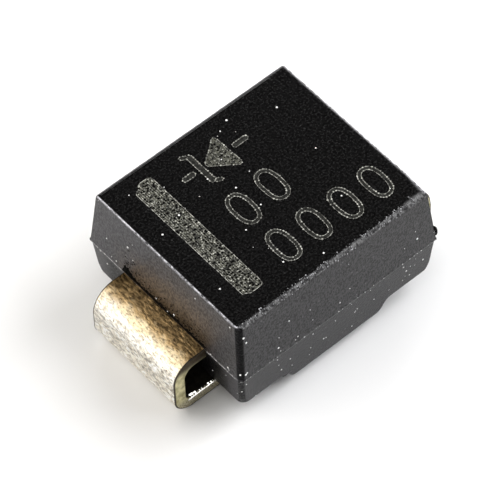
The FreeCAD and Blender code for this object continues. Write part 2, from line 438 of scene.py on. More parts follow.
def makePlating(p):
    material, n, shader, place = startMaterial("tinPlate")
    x, y, z = n.split(place)
    fine, clouds = n.grain(place, *p["plateSizes"], (1, 0.45, 1))
    scuffFine, scuffClouds = n.grain(place, *p["scuffSizes"], (1, 0.6, 1))
    waver = n.times(n.minus(clouds, 0.5), p["waver"] * mm)
    reach = n.plus(n.size(x), waver)
    warm = n.span(n.plus(z, waver), p["warmHeight"])
    near = n.span(reach, p["brownReach"], 1.0, 0.0)
    scuffs = n.times(n.range(scuffClouds, 0.44, 0.64), n.range(scuffFine, 0.38, 0.60, 0.35, 1.0))
    colour = n.mix(warm, n.mix(scuffs, p["silver"], p["dullSilver"]), p["gold"])
    colour = n.mix(n.times(near, warm), colour, p["brown"])
    # painted shade: darker towards the strip's sides, most of all towards +Y, and at its root by the body
    bothSides = n.span(n.size(y), p["sideReach"], 0.0, p["sideShade"])
    sides = n.largest(bothSides, n.span(y, p["farReach"], 0.0, p["farShade"]))
    root = n.span(reach, p["rootReach"], p["rootShade"], 0.0)
    colour = n.mix(n.times(n.largest(n.times(sides, near), root), warm), colour, p["shadeAndPitBrown"])
    colour = n.tint(colour, n.range(clouds, 0.3, 0.72, 0.80, 1.08))
    colour = n.tint(colour, n.range(fine, 0.36, 0.60, 0.58, 1.30))
    pits = n.times(n.specks(place, *p["pits"]), p["pitShade"])
    n.dress(shader, fine, p["grainDepth"], {
        "Base Color": n.mix(pits, colour, p["shadeAndPitBrown"]), "Metallic": 1.0,
        "Roughness": n.range(fine, 0.3, 0.7, *p["roughness"]),
    })
    return material


def makeCutMetal(c):
    material, n, shader, place = startMaterial("cutLeadEdge")
    z = n.split(place)[2]
    fine, clouds = n.grain(place, 30000.0, 9000.0)
    olive = n.mix(n.range(clouds, 0.3, 0.7), *c["olive"])
    # the cut face turns greyer towards the foot
    footGrey = n.mix(n.range(fine, 0.40, 0.62), *c["footGrey"])
    colour = n.mix(n.span(z, c["footGreyHeight"]), footGrey, olive)
    # painted shadow: the cut face darkens towards its top, in the body's shade
    colour = n.mix(n.span(z, c["cutTopShadowHeight"]), colour, c["cutTopShadow"])
    n.dress(shader, fine, c["grainDepth"], {
        "Base Color": colour, "Metallic": 1.0, "Roughness": n.range(fine, 0.3, 0.7, *c["roughness"]),
    })
    return material


# plain materials: two colours in soft clouds, under a fine grain


def makeClouded(
    name, low, high, roughness, metallic=0.0, gloss=0.5, clouds=9000.0, fine=30000.0, contrast=0.20, depth=1e-6
):
    material, n, shader, place = startMaterial(name)
    fineTone, cloudTone = n.grain(place, fine, clouds)
    n.dress(shader, fineTone, depth, {
        "Base Color": n.mix(n.range(cloudTone, 0.5 - contrast, 0.5 + contrast), (*low, 1), (*high, 1)),
        "Roughness": n.range(fineTone, 0.3, 0.7, *roughness),
        "Metallic": metallic, "Specular IOR Level": gloss,
    })
    return material


def makeMottledMetal(name, low, high, roughness, metallic):
    return makeClouded(name, low, high, roughness, metallic, clouds=8000.0, depth=2e-6)


def makeMark(name, low, high, gloss=0.2):
    return makeClouded(name, low, high, (0.55, 0.8), gloss=gloss, clouds=20000.0, contrast=0.16)


epoxy = makeCompound(compound)
leadMaterials = [
    makePlating(plating),
    makeCutMetal(cutEdge),
    makeMottledMetal("edgeOxide", (0.018, 0.012, 0.007), (0.06, 0.042, 0.022), (0.42, 0.58), 0.4),
    # painted shade on the strip's inner face, inside the C
    makeMottledMetal("innerPaintedShade", (0.02, 0.018, 0.013), (0.06, 0.053, 0.038), (0.37, 0.53), 0.6),
]
burrMetal = makeMottledMetal("brightBurr", (0.93, 0.92, 0.88), (0.99, 0.99, 0.98), (0.12, 0.28), 1.0)
markAsh = makeMark("laserMark", (0.030, 0.030, 0.026), (0.64, 0.64, 0.58))
# near-black used for the laser craters, the flash flake and the painted shadow ribbons
craterAndShadowBlack = makeMark("burntCraterAndShadow", (0.001, 0.001, 0.001), (0.006, 0.006, 0.005), 0.02)
# pale rim lines and chips: part wear, part painted highlight
wearAndHighlightRim = makeMark("wearAndHighlightRim", (0.05, 0.05, 0.055), (0.70, 0.70, 0.75))
chipsAndGlint = makeMark("chipsAndGlintRim", (0.05, 0.05, 0.05), (0.46, 0.46, 0.48))
partingHighlight = makeMark("partingHighlight", (0.07, 0.07, 0.07), (0.92, 0.92, 0.91))
strokeFilm = makeMark("strokeFilm", (0.006, 0.006, 0.005), (0.026, 0.026, 0.023), 0.1)
bandFilm = makeMark("bandFilm", (0.011, 0.011, 0.009), (0.080, 0.080, 0.062))
paleDust = makeClouded("paleDust", (0.80, 0.80, 0.80), (0.99, 0.99, 0.98), (0.5, 0.8))
print("outer materials built")

# moulded body

bodyForm = {
    "endDraft": 4.7, "sideDraft": 6.0, "lowerDraft": 4.5,      # degrees from upright
    "topRounding": 0.085, "endRounding": 0.045, "rightRounding": 0.050,
    "upperCorner": 0.055, "frontCorner": 0.055, "lipCorner": 0.045, "lipRise": 0.20,
    "lowerCorner": 0.088, "footCorner": 0.22, "footCornerFrom": 0.72, "bottomRounding": 0.11,
    "blockLength": 2.20, "blockDraft": 20.0, "recessDepth": 0.255, "blockRounding": 0.14, "recessRoot": 0.11,
    "margin": 0.010, "bead": 0.003, "cornerFlash": 0.007, "beadHalf": 0.006, "step": 0.004,
    "bandPlace": (-1.54, -1.06, -1.38, 1.48), "bandSink": 0.006, "bandSlope": 0.03,
    "cellsAlong": 132, "cellsAcross": 118, "cornerCells": 5, "wallRows": 32, "lowerRows": 26,
    "rimRows": 8, "rimTurn": 84.0, "rimRipple": 0.0045,
}


def ringPattern(f):
    # fraction along each axis and outward direction of every point round the body
    rows = []
    half = f["cornerCells"]
    for side in range(4):
        cells = f["cellsAlong"] if side % 2 == 0 else f["cellsAcross"]
        for i in range(cells):
            if i <= half:
                share, turn = -1.0, 45 * i / half
            elif i >= cells - half:
                share, turn = 1.0, 45 + 45 * (i - cells + half) / half
            else:
                share, turn = -1 + 2 * (i - half) / (cells - 2 * half), 45
            angle = math.radians(225 + 90 * side + turn)
            u, v = ((share, -1), (1, share), (-share, 1), (-1, -share))[side]
            rows.append((u, v, math.cos(angle), math.sin(angle)))
    return np.array(rows)


def rimTilt(row):
    # angle of the top rounding's skin at a row, counted from the top face outwards
    return math.radians(90 - bodyForm["rimTurn"] * row / bodyForm["rimRows"])


def undersideProfile(f, low):
    # height of the underside against distance from the middle: block, rounded step, recess
    lean = math.tan(math.radians(f["blockDraft"]))
    bend = math.radians(90 - f["blockDraft"])
    ceiling = low + f["recessDepth"]
    edge, root = f["blockRounding"], f["recessRoot"]
    edgeX = f["blockLength"] / 2 - lean * f["recessDepth"] / 2 - edge * math.tan(bend / 2)
    rootX = f["blockLength"] / 2 + lean * f["recessDepth"] / 2 + root * math.tan(bend / 2)
    turns = [bend * k / 8 for k in range(9)]
    points = [(0, low)]
    points += [(edgeX + edge * math.sin(t), low + edge * (1 - math.cos(t))) for t in turns]
    points += [(rootX - root * math.sin(t), ceiling - root * (1 - math.cos(t))) for t in turns[::-1]]
    points.append((10, ceiling))
    return np.array(points)


def capGrid(boundary, nx, ny):
    # transfinite grid inside the ring, as (nx + 1) x (ny + 1) x 2
    s = np.linspace(0, 1, nx + 1)[:, None, None]
    t = np.linspace(0, 1, ny + 1)[None, :, None]
    near = boundary[np.arange(nx + 1)][:, None, :]
    right = boundary[nx + np.arange(ny + 1)][None, :, :]
    far = boundary[nx + ny + np.arange(nx, -1, -1)][:, None, :]
    ring = np.vstack([boundary, boundary[:1]])
    left = ring[2 * nx + ny + np.arange(ny, -1, -1)][None, :, :]
    corners = (
        (1 - s) * (1 - t) * near[0, 0] + s * (1 - t) * near[-1, 0]
        + (1 - s) * t * far[0, 0] + s * t * far[-1, 0]
    )
    return (1 - t) * near + t * far + (1 - s) * left + s * right - corners


def buildBody(f):
    length = bodyHigh[0] - bodyLow[0] - 2 * f["margin"]
    width = bodyHigh[1] - bodyLow[1] - 2 * f["margin"]
    low = float(bodyLow[2])
    pattern = ringPattern(f)
    u, v, dx, dy = pattern.T
    endSlope, sideSlope, lowSlope = (math.tan(math.radians(f[k])) for k in ("endDraft", "sideDraft", "lowerDraft"))
    front = smoothStep(-u, 0.1, 0.9) * smoothStep(-v, 0.1, 0.9)
    right = smoothStep(u, 0.7, 0.98) * smoothStep(-v, 0.7, 0.98)

    def ringAt(z, inset, a, b, r):
        x = u * (a - r) + (r - inset) * dx
        y = v * (b - r) + (r - inset) * dy
        return np.stack([x, y, z + 0 * x], 1)

    def upperRing(z, inset):
        rise = z - partingHeight
        r = f["lipCorner"] + (f["upperCorner"] - f["lipCorner"]) * smoothStep(rise, 0.0, f["lipRise"])
        r = np.maximum(r + f["frontCorner"] * front, inset + 0.006)
        return ringAt(z, inset, length / 2 - rise * endSlope, width / 2 - rise * sideSlope, r)

    def lowerRing(z, inset):
        lean = f["step"] + (partingHeight - z) * lowSlope
        low0, low1 = -f["footCornerFrom"], -low - f["bottomRounding"]
        r = f["lowerCorner"] + (f["footCorner"] - f["lowerCorner"]) * smoothStep(-z, low0, low1)
        return ringAt(z, inset, length / 2 - lean, width / 2 - lean, r)

    rings = []
    rounding = f["topRounding"] + (f["endRounding"] - f["topRounding"]) * smoothStep(-dx, 0.35, 0.9)
    rounding = rounding + f["rightRounding"] * right
    for k in range(f["rimRows"] + 1):
        t = rimTilt(k)
        ring = upperRing(topHeight - rounding * (1 - math.sin(t)), rounding * (1 - math.cos(t)))
        weight = math.sin(math.pi * k / f["rimRows"]) * f["rimRipple"]
        for p, (_, _, outX, outY) in zip(ring, pattern):
            worn = ripple(*p, 9.0, 3.1) + 0.8 * ripple(*p, 31.0, 8.7)
            worn *= weight * (1.0 if outY < -0.7 else 0.3)
            p += worn * np.array([outX * math.cos(t), outY * math.cos(t), math.sin(t)])
        rings.append(ring)
    wallTop = topHeight - rounding
    for share in np.linspace(0, 1, f["wallRows"])[1:]:
        rings.append(upperRing(wallTop + share * (partingHeight + 2 * f["beadHalf"] - wallTop), 0.0))
    sharp = smoothStep(np.abs(dx) * np.abs(dy), 0.1, 0.45)
    flash = f["bead"] + f["cornerFlash"] * sharp
    seamRing = upperRing(partingHeight, -flash + 0.003)
    rings.append(upperRing(partingHeight + f["beadHalf"], -flash))
    rings.append(upperRing(partingHeight, -flash) - np.array([0, 0, f["beadHalf"]]))
    profile = undersideProfile(f, low)
    first = lowerRing(np.full(len(u), partingHeight - 2 * f["beadHalf"]), 0.0)
    floorHeight = np.interp(np.abs(first[:, 0]), profile[:, 0], profile[:, 1])
    rings.append(first)
    for share in np.linspace(0, 1, f["lowerRows"])[1:]:
        rings.append(lowerRing(first[:, 2] + share * (floorHeight + f["bottomRounding"] - first[:, 2]), 0.0))
    for k in range(1, 7):
        t = math.radians(90 * k / 6)
        z = floorHeight + f["bottomRounding"] * (1 - math.sin(t))
        rings.append(lowerRing(z, f["bottomRounding"] * (1 - math.cos(t))))

    nx, ny = f["cellsAlong"], f["cellsAcross"]
    count = len(pattern)
    points = np.concatenate(rings)
    faces = []
    for a in range(0, (len(rings) - 1) * count, count):
        for i in range(count):
            j = (i + 1) % count
            faces.append((a + i, a + count + i, a + count + j, a + j))

    def ringIndex(i, j):
        if j == 0:
            return i
        if i == nx:
            return nx + j
        if j == ny:
            return 2 * nx + ny - i
        return (2 * nx + 2 * ny - j) % count

    def addCap(ring, base, heights, flip):
        nonlocal points
        inner = capGrid(ring[:, :2], nx, ny)[1:-1, 1:-1].reshape(-1, 2)
        start = len(points)
        points = np.concatenate([points, np.column_stack([inner, heights(*inner.T)])])

        def index(i, j):
            if 0 < i < nx and 0 < j < ny:
                return start + (i - 1) * (ny - 1) + (j - 1)
            return base + ringIndex(i, j)

        for i in range(nx):
            for j in range(ny):
                quad = (index(i, j), index(i + 1, j), index(i + 1, j + 1), index(i, j + 1))
                faces.append(quad[::-1] if flip else quad)

    def topSurface(x, y):
        x0, x1, y0, y1 = f["bandPlace"]
        slope = f["bandSlope"]
        inside = smoothStep(x, x0, x0 + slope) * smoothStep(-x, -x1, -x1 + slope)
        inside = inside * smoothStep(y, y0, y0 + slope) * smoothStep(-y, -y1, -y1 + slope)
        return topHeight - f["bandSink"] * inside

    def underSurface(x, y):
        return np.interp(np.abs(x), profile[:, 0], profile[:, 1])

    addCap(rings[0], 0, topSurface, False)
    addCap(rings[-1], (len(rings) - 1) * count, underSurface, True)
    mesh = meshFromPoints("bodyShell", points, faces)
    smoothShade(mesh)
    return mesh, seamRing, rings[:f["rimRows"] + 1]


bodyMesh, partingRing, rimRings = buildBody(bodyForm)
bodyShell = pieceFromMesh("bodyShell", bodyMesh, epoxy)
print("body built:", len(bodyShell.data.polygons), "faces")

# leads

leadForm = {
    "thickness": 0.235, "width": 2.00, "upperBend": 0.44, "lowerBend": 0.37, "footLength": 1.15,
    "edge": 0.022, "darkEdge": 0.006, "cellsAcross": 142, "stepOutside": 0.0135, "stepHidden": 0.07, "outerTurns": 3,
    "setRadius": 0.20, "neckAt": 1.66, "notchAt": 1.82, "notchRadius": 0.13, "narrowAt": 1.31,
    "waveFrom": (0.12, 0.24), "waves": ((0.0030, 2.6, 3.1, 0.0), (0.0038, 8.5, 21, 4.0), (0.6 * 0.0038, 21, 42, 9.0)),
    "dents": 22, "dentDepth": 0.010, "dentSize": 0.020, "outerSink": 0.006, "farSwell": 0.04,
    "dimple": (0.44, 0.18, 0.06),     # radius, wall and depth of the pressed dimple
}


def followStrip(points, radii, f):
    # evenly spaced places and normals along a polyline with rounded corners, in the XZ plane
    places = []
    points = [np.array(point, float) for point in points]
    here = points[0]

    def run(end, normal, step):
        n = max(1, int(round(np.linalg.norm(end - here) / step)))
        places.extend((here + (end - here) * k / n, normal) for k in range(n))

    for i, radius in enumerate(radii):
        corner = points[i + 1]
        before = corner - points[i]
        after = points[i + 2] - corner
        before /= np.linalg.norm(before)
        after /= np.linalg.norm(after)
        turn = math.copysign(1, before[0] * after[1] - before[1] * after[0])
        angle = math.acos(float(np.clip(before @ after, -1, 1)))
        start = corner - before * radius * math.tan(angle / 2)
        normal = np.array([-before[1], before[0]])
        run(start, normal, f["stepOutside"] if i < f["outerTurns"] else f["stepHidden"])
        centre = start + normal * radius * turn
        steps = max(6, int(round(radius * angle / (f["stepOutside"] * 0.7))))
        for k in range(steps):
            t = turn * angle * k / steps
            c, s = math.cos(t), math.sin(t)
            spun = np.array([normal[0] * c - normal[1] * s, normal[0] * s + normal[1] * c])
            places.append((centre - spun * radius * turn, spun))
        here = corner + after * radius * math.tan(angle / 2)
    normal = np.array([-after[1], after[0]])
    run(points[-1], normal, f["stepHidden"])
    places.append((points[-1], normal))
    return places


def crossSection(f):
    # strip outline as share across, extra across, height, and the slot of the face that follows each point
    cells, edge = f["cellsAcross"], f["edge"]
    flat = f["thickness"] / 2 - edge

    def arc(side, level, turns, slot):
        angles = [math.radians(turn) for turn in turns]
        return [(side, edge * math.cos(t), level + edge * math.sin(t), slot) for t in angles]

    rows = [(-1 + 2 * k / cells, 0.0, flat + edge, 0) for k in range(cells)]
    rows.append((1.0, 0.0, flat + edge, 2))
    rows += arc(1.0, flat, (67.5, 45, 22.5, 0), 2)
    rows.append((1.0, edge, flat - f["darkEdge"], 1))
    rows += arc(1.0, -flat, (0, -22.5, -45, -67.5), 1)
    rows += [(1 - 2 * k / cells, 0.0, -flat - edge, 3) for k in range(cells)]
    rows.append((-1.0, 0.0, -flat - edge, 1))
    rows += arc(-1.0, -flat, (-112.5, -135, -157.5, -180), 1)
    rows.append((-1.0, -edge, flat - f["darkEdge"], 2))
    rows += arc(-1.0, flat, (180, 157.5, 135, 112.5), 2)
    return rows


def buildLead(f, name, innerEnd, innerHeight, outline, dimple, seed):
    # drawn with its outside at -X; outline gives half the width against x inside the body
    t = f["thickness"]
    armHeight = partingHeight - t / 2
    wall = leadLow[0] + t / 2
    neck = -f["neckAt"]
    path = [
        (leadLow[0] + f["footLength"], t / 2), (wall, t / 2), (wall, armHeight), (neck, armHeight),
        (neck + abs(innerHeight - armHeight), innerHeight), (innerEnd, innerHeight),
    ]
    radii = [f["lowerBend"] - t / 2, f["upperBend"] - t / 2, f["setRadius"], f["setRadius"]]
    # the path turns clockwise from the foot, so its normal points out of the C
    places = followStrip(path, radii, f)
    section = crossSection(f)
    rng = np.random.default_rng(seed)
    dents = [(rng.uniform(-0.95, 0.95), rng.uniform(0.3, 1.15), rng.uniform(0.5, 1.4)) for _ in range(f["dents"])]
    outlineX, outlineHalf = zip(*outline)

    def unevenness(y, place, gone, height):
        # waves, hammer marks and dents of the outer skin
        depth = sum(size * wave(y * a, gone * b, seed + c) for size, a, b, c in f["waves"])
        if place[0] < wall + 0.03:
            for dentY, dentZ, size in dents:
                gap = ((y - dentY) ** 2 + (place[1] - dentZ) ** 2) / (f["dentSize"] * size) ** 2
                if gap < 9:
                    depth -= f["dentDepth"] * size * math.exp(-gap) * math.copysign(1, height)
        return swell(place[1], *f["waveFrom"]) * (depth - (f["outerSink"] if height > 0 else 0.0))

    points = []
    gone = 0.0
    before = places[0][0]
    for place, normal in places:
        gone += float(np.linalg.norm(place - before))
        before = place
        inside = place[0] > -bodyHigh[0] + 0.02 and place[1] > 0.6
        half = f["width"] / 2
        if inside:
            half = float(np.interp(place[0], outlineX, outlineHalf))
            bite = f["notchRadius"] ** 2 - (place[0] + f["notchAt"]) ** 2
            if bite > 0:
                half -= math.sqrt(bite)
        widening = 0 if inside else f["farSwell"] * swell(-place[1], -1.0, -0.7)
        for share, extra, height, _ in section:
            y = share * (half - f["edge"]) + extra
            lift = height
            if not inside:
                y += widening * swell(share, 0.7, 1.0)
                if abs(height) > t / 2 - 1e-6 and place[1] > f["waveFrom"][0]:
                    lift += unevenness(y, place, gone, height)
            if dimple:
                radius, slope, depth = f["dimple"]
                away = math.hypot(place[0], y)
                lift += -depth * (1 - float(np.clip((away - radius) / slope, 0, 1)))
            points.append((place[0] + normal[0] * lift, y, place[1] + normal[1] * lift))
    mesh = meshFromPoints(name, points, tubeFaces(0, len(places), len(section)))
    mesh.polygons.foreach_set("material_index", [row[3] for row in section] * (len(places) - 1) + [1, 1])
    smoothShade(mesh)
    turnOutward(mesh)
    return mesh


halfThick = leadForm["thickness"] / 2
tabLow, tabHigh = (np.array(c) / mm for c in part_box("anode_lead"))
padHeight = float(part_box("cathode_solder")[0].z) / mm - halfThick
tabHeight = float(tabHigh[2]) - halfThick
padEnd, padHalf = float(leadHigh[0]), float(leadHigh[1])
tabEnd = -float(tabLow[0])
cathodeOutline = [
    (-2.1, 1.0), (-padEnd - 0.18, 1.0), (-padEnd, padHalf), (padEnd - 0.2, padHalf), (padEnd - 0.14, padHalf - 0.01),
    (padEnd - 0.08, padHalf - 0.04), (padEnd - 0.03, padHalf - 0.10), (padEnd, padHalf - 0.2),
]
anodeOutline = [
    (-2.1, 1.0), (-leadForm["neckAt"], 1.0), (-leadForm["narrowAt"], 0.65), (tabEnd - 0.3, 0.65),
    (tabEnd - 0.2, 0.63), (tabEnd - 0.1, 0.57), (tabEnd - 0.03, 0.47), (tabEnd, 0.35),
]
cathodeMesh = buildLead(leadForm, "cathodeStrip", padEnd, padHeight, cathodeOutline, False, 4)
cathodeStrip = pieceFromMesh("cathodeStrip", cathodeMesh, *leadMaterials)
anodeMesh = buildLead(leadForm, "anodeStrip", tabEnd, tabHeight, anodeOutline, True, 11)
anodeMesh.transform(Matrix.Rotation(math.pi, 4, "Z"))
anodeStrip = pieceFromMesh("anodeStrip", anodeMesh, *leadMaterials)
print("leads built:", len(cathodeStrip.data.polygons), "faces each")

# trees that grow beads, dots and dust


def openTree(name, *labels):
    inputs = {"geometry": "Geometry", **dict.fromkeys(labels, "Float"), "seed": "Int", "finish": "Material"}
    return newGroup(name, "GeometryNodeTree", inputs, {"geometry": "Geometry"})


def closeTree(n, geometry, finish):
    real = n.add("GeometryNodeRealizeInstances", {"Geometry": geometry})
    coated = n.add("GeometryNodeSetMaterial", {"Geometry": real.outputs[0], "Material": finish})
    n.add("NodeGroupOutput", {0: coated.outputs[0]})


def randomSize(n, seed, low, high):
    return n.add("FunctionNodeRandomValue", {2: low, 3: high, "Seed": seed}, data_type="FLOAT").outputs[1]


def addBeads(n, points, size, stretch, **turn):
    # a small squashed ball at every point
    ball = n.add("GeometryNodeMeshIcoSphere", {"Radius": 1.0, "Subdivisions": 1})
    scale = n.add("ShaderNodeCombineXYZ", {axis: n.times(size, share) for axis, share in enumerate(stretch)})
    values = {"Points": points, "Instance": ball.outputs[0], "Scale": scale.outputs[0], **turn}
    return n.add("GeometryNodeInstanceOnPoints", values).outputs[0]


def growFromTree(name, mesh, tree, names, values):
    piece = pieceFromMesh(name, mesh)
    modifier = piece.modifiers.new("grow", "NODES")
    modifier.node_group = tree
    for label, value in values.items():
        modifier[names[label]] = value
    bpy.context.view_layer.update()
    grown = bpy.data.meshes.new_from_object(piece.evaluated_get(bpy.context.evaluated_depsgraph_get()))
    piece.modifiers.clear()
    piece.data = grown
    grown.name = name
    holdInside(grown)
    smoothShade(grown)
    return piece


# laser marks: dotted outlines with ash between them

markForm = {
    "stroke": 0.062, "dotSpacing": 0.052, "dotSize": 0.0122, "lineSize": 0.0030, "jitter": 0.004, "ashSize": 0.006,
    "symbolStroke": 0.125, "lift": 0.001, "filmLift": 0.0006, "pressed": 0.35,
    "rowSpacing": 0.047, "rowStep": 0.03, "rowSway": 0.012, "swayScale": 13.0,
    "zeroWidth": 0.335, "zeroHeight": 0.63, "zeroPower": 2 / 2.5, "zeroPoints": 44, "wobble": 0.006,
    "zeros": [(-0.41, -0.04), (0.24, 0.01), (-0.40, -0.99), (0.23, -1.00), (0.86, -1.03), (1.49, -1.04)],
}


def buildMarkTree():
    n, given, names = openTree(
        "dottedMark", "dotSpacing", "dotSize", "lineSize", "jitter", "ashDensity", "ashSize", "dotHeight"
    )
    neighbours = n.add("GeometryNodeInputMeshEdgeNeighbors").outputs[0]
    openEdge = n.add("FunctionNodeCompare", {2: neighbours, 3: 2}, data_type="INT", operation="LESS_THAN").outputs[0]
    line = n.add("GeometryNodeMeshToCurve", {"Mesh": given["geometry"], "Selection": openEdge}).outputs[0]
    values = {"Curve": line, "Length": given["dotSpacing"]}
    dots = n.add("GeometryNodeResampleCurve", values, mode="LENGTH").outputs[0]
    ring = n.add("GeometryNodeCurvePrimitiveCircle", {"Resolution": 4, "Radius": given["lineSize"]}).outputs[0]
    wire = n.add("GeometryNodeCurveToMesh", {"Curve": dots, "Profile Curve": ring}).outputs[0]
    ends = {0: (-1, -1, 0), 1: (1, 1, 0), "Seed": given["seed"]}
    shift = n.add("FunctionNodeRandomValue", ends, data_type="FLOAT_VECTOR").outputs[0]
    moved = n.add("ShaderNodeVectorMath", {0: shift, "Scale": given["jitter"]}, operation="SCALE").outputs[0]
    loose = n.add("GeometryNodeSetPosition", {"Geometry": dots, "Offset": moved}).outputs[0]
    size = n.times(randomSize(n, given["seed"], 0.35, 1.5), given["dotSize"])
    beads = addBeads(n, loose, size, (1, 1, given["dotHeight"]))
    values = {"Mesh": given["geometry"], "Density": given["ashDensity"], "Seed": given["seed"]}
    ash = n.add("GeometryNodeDistributePointsOnFaces", values).outputs[0]
    size = n.times(randomSize(n, given["seed"], 0.3, 1.4), given["ashSize"])
    flakes = addBeads(n, ash, size, (1, 1.5, 0.3))
    joined = n.add("GeometryNodeJoinGeometry")
    for part in (flakes, beads, wire):
        n.feed(joined, 0, part)
    closeTree(n, joined.outputs[0], given["finish"])
    return n.tree, names


markTree, markNames = buildMarkTree()


def growMarks(name, mesh, material, seed, dotHeight=0.45, ashDensity=0.0, **changes):
    keys = ("dotSpacing", "dotSize", "lineSize", "jitter", "ashSize")
    values = {key: changes.get(key, markForm[key]) * mm for key in keys}
    values.update(ashDensity=ashDensity / mm ** 2, dotHeight=dotHeight, seed=seed, finish=material)
    return growFromTree(name, mesh, markTree, markNames, values)


def pressFlat(piece, height, share):
    # squeezes a mark towards the face it lies on
    for vertex in piece.data.vertices:
        vertex.co.z = height * mm + (vertex.co.z - height * mm) * share


def zeroShape(centre, f, seed):
    # ring of quads between two rounded ovals
    points = []
    count = f["zeroPoints"]
    for k in range(count):
        t = 2 * math.pi * k / count
        c, s = math.cos(t), math.sin(t)
        x = math.copysign(abs(c) ** f["zeroPower"], c)
        y = math.copysign(abs(s) ** f["zeroPower"], s)
        uneven = f["wobble"] * wave(c * 2.2, s * 2.2, seed)
        for side in (-1, 1):
            w, h = (f[key] / 2 + side * f["stroke"] / 2 + uneven for key in ("zeroWidth", "zeroHeight"))
            points.append((centre[0] + x * w, centre[1] + y * h))
    turns = [(2 * k, 2 * ((k + 1) % count)) for k in range(count)]
    return points, [(a, a + 1, b + 1, b) for a, b in turns]


def roundedBar(start, end, width):
    # straight stroke with round ends as one face
    a, b = np.array(start, float), np.array(end, float)
    along = (b - a) / np.linalg.norm(b - a)
    side = np.array([-along[1], along[0]])
    points = []
    for centre, base in ((b, -90), (a, 90)):
        for k in range(7):
            t = math.radians(base + 180 * k / 6)
            points.append(tuple(centre + along * width / 2 * math.cos(t) * 0.8 + side * width / 2 * math.sin(t)))
    return points, [tuple(range(len(points)))]


def wavyPolygon(corners, wobble, seed, spacing=0.05):
    # closed outline with small irregularities
    points = []
    for a, b in zip(corners, corners[1:] + corners[:1]):
        a, b = np.array(a, float), np.array(b, float)
        n = max(1, int(round(np.linalg.norm(b - a) / spacing)))
        for i in range(n):
            p = a + (b - a) * i / n
            p = p + wobble * np.array([ripple(p[0], p[1], 0, 9, seed), ripple(p[0], p[1], 3, 9, seed)])
            points.append(tuple(p))
    return points, [tuple(range(len(points)))]


def rowsInside(corners, spacing, margin, seed):
    # wavy lines along Y that stay within a polygon
    rows = []
    left = min(x for x, _ in corners)
    right = max(x for x, _ in corners)
    count = int((right - left - 2 * margin) / spacing) + 1
    start = (left + right - (count - 1) * spacing) / 2
    for k in range(count):
        x = start + k * spacing
        crossings = [
            ay + (by - ay) * (x - ax) / (bx - ax)
            for (ax, ay), (bx, by) in zip(corners, corners[1:] + corners[:1]) if (ax - x) * (bx - x) < 0
        ]
        if len(crossings) < 2 or max(crossings) - min(crossings) < 3 * margin:
            continue
        ys = np.arange(min(crossings) + margin, max(crossings) - margin, markForm["rowStep"])
        sway = [markForm["rowSway"] * ripple(x, y, 0.0, markForm["swayScale"], seed) for y in ys]
        rows.append([(x + aside, float(y)) for aside, y in zip(sway, ys)])
    return rows


def flatMesh(name, shapes, height, rows=()):
    points, faces, edges = [], [], []
    for shapePoints, shapeFaces in shapes:
        faces += [tuple(len(points) + i for i in face) for face in shapeFaces]
        points += [(x, y, height) for x, y in shapePoints]
    for row in rows:
        edges += [(len(points) + i, len(points) + i + 1) for i in range(len(row) - 1)]
        points += [(x, y, height) for x, y in row]
    return meshFromPoints(name, points, faces, edges)


bandCorners = [
    (-1.495, -1.27), (-1.40, -1.30), (-1.375, -1.335), (-1.13, -1.33), (-1.105, -1.24), (-1.10, 1.36),
    (-1.125, 1.43), (-1.30, 1.435), (-1.385, 1.405), (-1.395, 1.345), (-1.48, 1.33), (-1.50, 1.29),
]
symbolTriangle = [(0.17, 0.655), (0.19, 0.70), (0.17, 1.33), (0.12, 1.345), (-0.30, 1.03), (-0.30, 0.97), (0.12, 0.65)]
symbolBars = [   # start, end, share of the stroke's width: the bar, the two wires, the bar's bent ends
    ((-0.40, 0.70), (-0.40, 1.30), 0.8), ((-0.56, 1.00), (-0.74, 1.00), 0.75), ((0.30, 1.00), (0.54, 1.00), 0.75),
    ((-0.52, 1.37), (-0.44, 1.33), 0.55), ((-0.36, 0.67), (-0.28, 0.63), 0.55),
]
markHeight = topHeight + markForm["lift"]
bandHeight = topHeight - bodyForm["bandSink"] + markForm["lift"]
filmHeight = topHeight + markForm["filmLift"]
zeroShapes = [zeroShape(c, markForm, i * 1.7) for i, c in enumerate(markForm["zeros"])]
triangleShapes = [wavyPolygon(symbolTriangle, 0.006, 2.0)]
barShapes = [roundedBar(a, b, markForm["symbolStroke"] * share) for a, b, share in symbolBars]
bandShapes = [wavyPolygon(bandCorners, 0.005, 7.0)]
symbolRows = rowsInside(symbolTriangle, 0.058, 0.035, 6.0)
bandRows = rowsInside(bandCorners, markForm["rowSpacing"], 0.03, 3.0)
beadRows = rowsInside(bandCorners, markForm["rowSpacing"] * 0.8, 0.02, 5.0)
markPlan = [
    # piece, outlines, inner rows, height, material, seed, and what differs from markForm
    ("zeroMarks", zeroShapes, (), markHeight, markAsh, 5, {}),
    ("symbolMarks", triangleShapes + barShapes, (), markHeight, markAsh, 9, {}),
    ("bandMark", bandShapes, (), bandHeight, markAsh, 21, {"lineSize": 0.0045, "dotSize": 0.0095, "dotSpacing": 0.07}),
    ("bandCraters", (), bandRows, bandHeight, craterAndShadowBlack, 23,
     {"jitter": 0.016, "lineSize": 0.0003, "dotSize": 0.0185, "dotSpacing": 0.056}),
    ("bandBeads", (), beadRows, bandHeight, markAsh, 27, {"jitter": 0.020, "lineSize": 0.0018, "dotSize": 0.0100}),
    ("symbolCraters", (), symbolRows, markHeight, craterAndShadowBlack, 29,
     {"jitter": 0.014, "lineSize": 0.0003, "dotSize": 0.0175, "dotSpacing": 0.056}),
    ("symbolBeads", (), symbolRows, markHeight, markAsh, 33,
     {"jitter": 0.020, "lineSize": 0.0016, "dotSize": 0.0090, "dotSpacing": 0.055}),
]
onTop = []
for name, shapes, rows, height, material, seed, changes in markPlan:
    onTop.append(growMarks(name, flatMesh(name, shapes, height, rows), material, seed, **changes))
    pressFlat(onTop[-1], height, markForm["pressed"])
